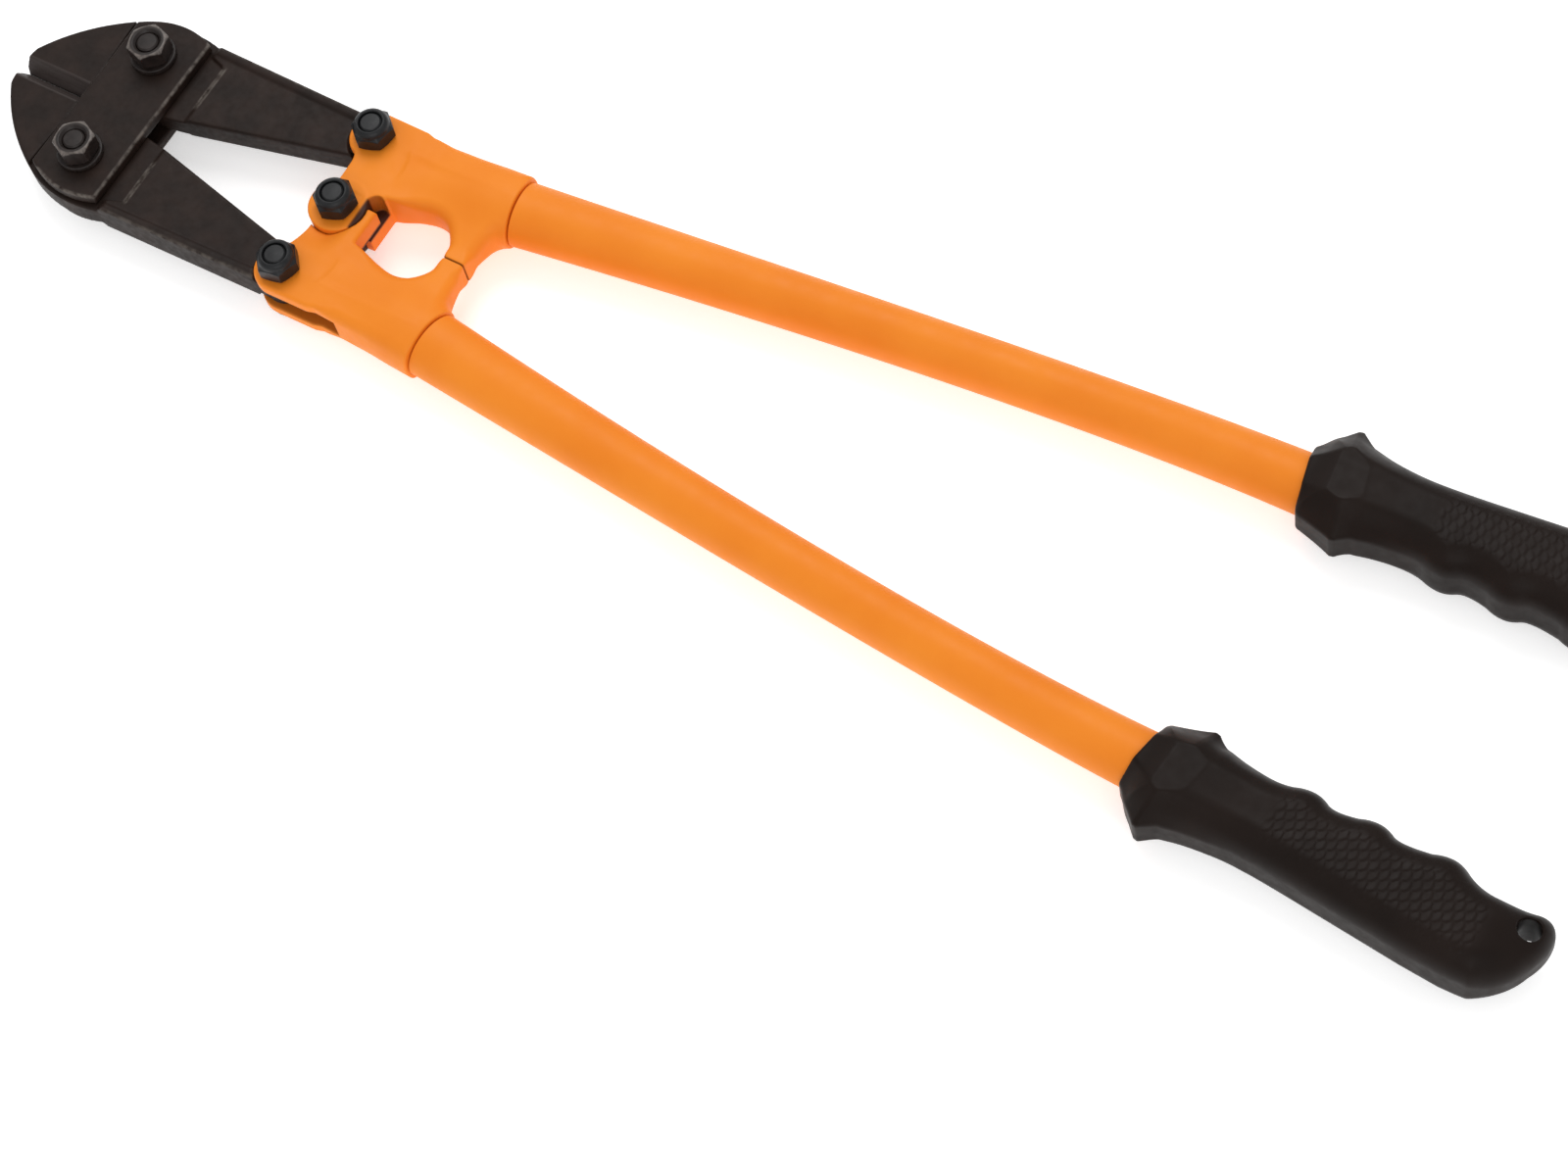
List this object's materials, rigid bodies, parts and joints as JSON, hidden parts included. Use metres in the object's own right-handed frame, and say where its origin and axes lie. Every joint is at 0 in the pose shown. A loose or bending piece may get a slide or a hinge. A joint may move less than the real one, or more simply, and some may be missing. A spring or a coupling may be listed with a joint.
{
  "type": "bolt cutters",
  "caption": "Centre-cut bolt cutters with black compound-lever jaws between bolted side plates, orange steel knuckles and tube handles, and black moulded grips.",
  "frame": {"origin": "middle of the underside of the closed tool lying flat", "axes": "+X from the jaws to the grips, +Y towards the upper handle, +Z out of the front face, which carries the nuts"},
  "size_m": [0.5946, 0.1514, 0.0316],
  "materials": {
    "black_steel": "satin black oxide",
    "fastener_steel": "blackened, lightly oiled",
    "orange_paint": "smooth satin powder coat",
    "grip": "satin moulded, scaled pattern on the faces"
  },
  "bodies": {
    "lower_handle": {"lower_knuckle": "orange_paint", "lower_tube": "orange_paint", "lower_grip": "grip", "lower_link_bolt": "fastener_steel", "lower_link_nut": "fastener_steel", "hinge_bolt": "fastener_steel", "hinge_nut": "fastener_steel"},
    "upper_handle": {"upper_knuckle": "orange_paint", "upper_tube": "orange_paint", "upper_grip": "grip", "upper_link_bolt": "fastener_steel", "upper_link_nut": "fastener_steel"},
    "upper_jaw_arm": {"upper_jaw": "black_steel"},
    "lower_jaw_arm": {"lower_jaw": "black_steel"},
    "head_plates": {"front_side_plate": "black_steel", "rear_side_plate": "black_steel", "upper_jaw_bolt": "fastener_steel", "upper_jaw_nut": "fastener_steel", "upper_jaw_washer": "fastener_steel", "lower_jaw_bolt": "fastener_steel", "lower_jaw_nut": "fastener_steel", "lower_jaw_washer": "fastener_steel"}
  },
  "joints": [
    {"name": "handles_open", "type": "hinge", "parent": "lower_handle", "child": "upper_handle", "pos_m": [-0.1623, 0, 0.014], "axis": [0, 0, 1], "range_deg": [0, 90]},
    {"name": "upper_jaw_swing", "type": "hinge", "parent": "upper_handle", "child": "upper_jaw_arm", "pos_m": [-0.1661, 0.0286, 0.014], "axis": [0, 0, 1], "range_deg": [-52, 0]},
    {"name": "lower_jaw_swing", "type": "hinge", "parent": "lower_handle", "child": "lower_jaw_arm", "pos_m": [-0.1661, -0.0286, 0.014], "axis": [0, 0, 1], "range_deg": [0, 52]},
    {"name": "side_plates_swing", "type": "hinge", "parent": "lower_jaw_arm", "child": "head_plates", "pos_m": [-0.2545, -0.0218, 0.014], "axis": [0, 0, 1], "range_deg": [-7, 0]}
  ],
  "couplings": [
    {"joint": "upper_jaw_swing", "follows": "handles_open", "ratio": -0.57},
    {"joint": "lower_jaw_swing", "follows": "handles_open", "ratio": 0.57},
    {"joint": "side_plates_swing", "follows": "handles_open", "ratio": -0.07}
  ]
}
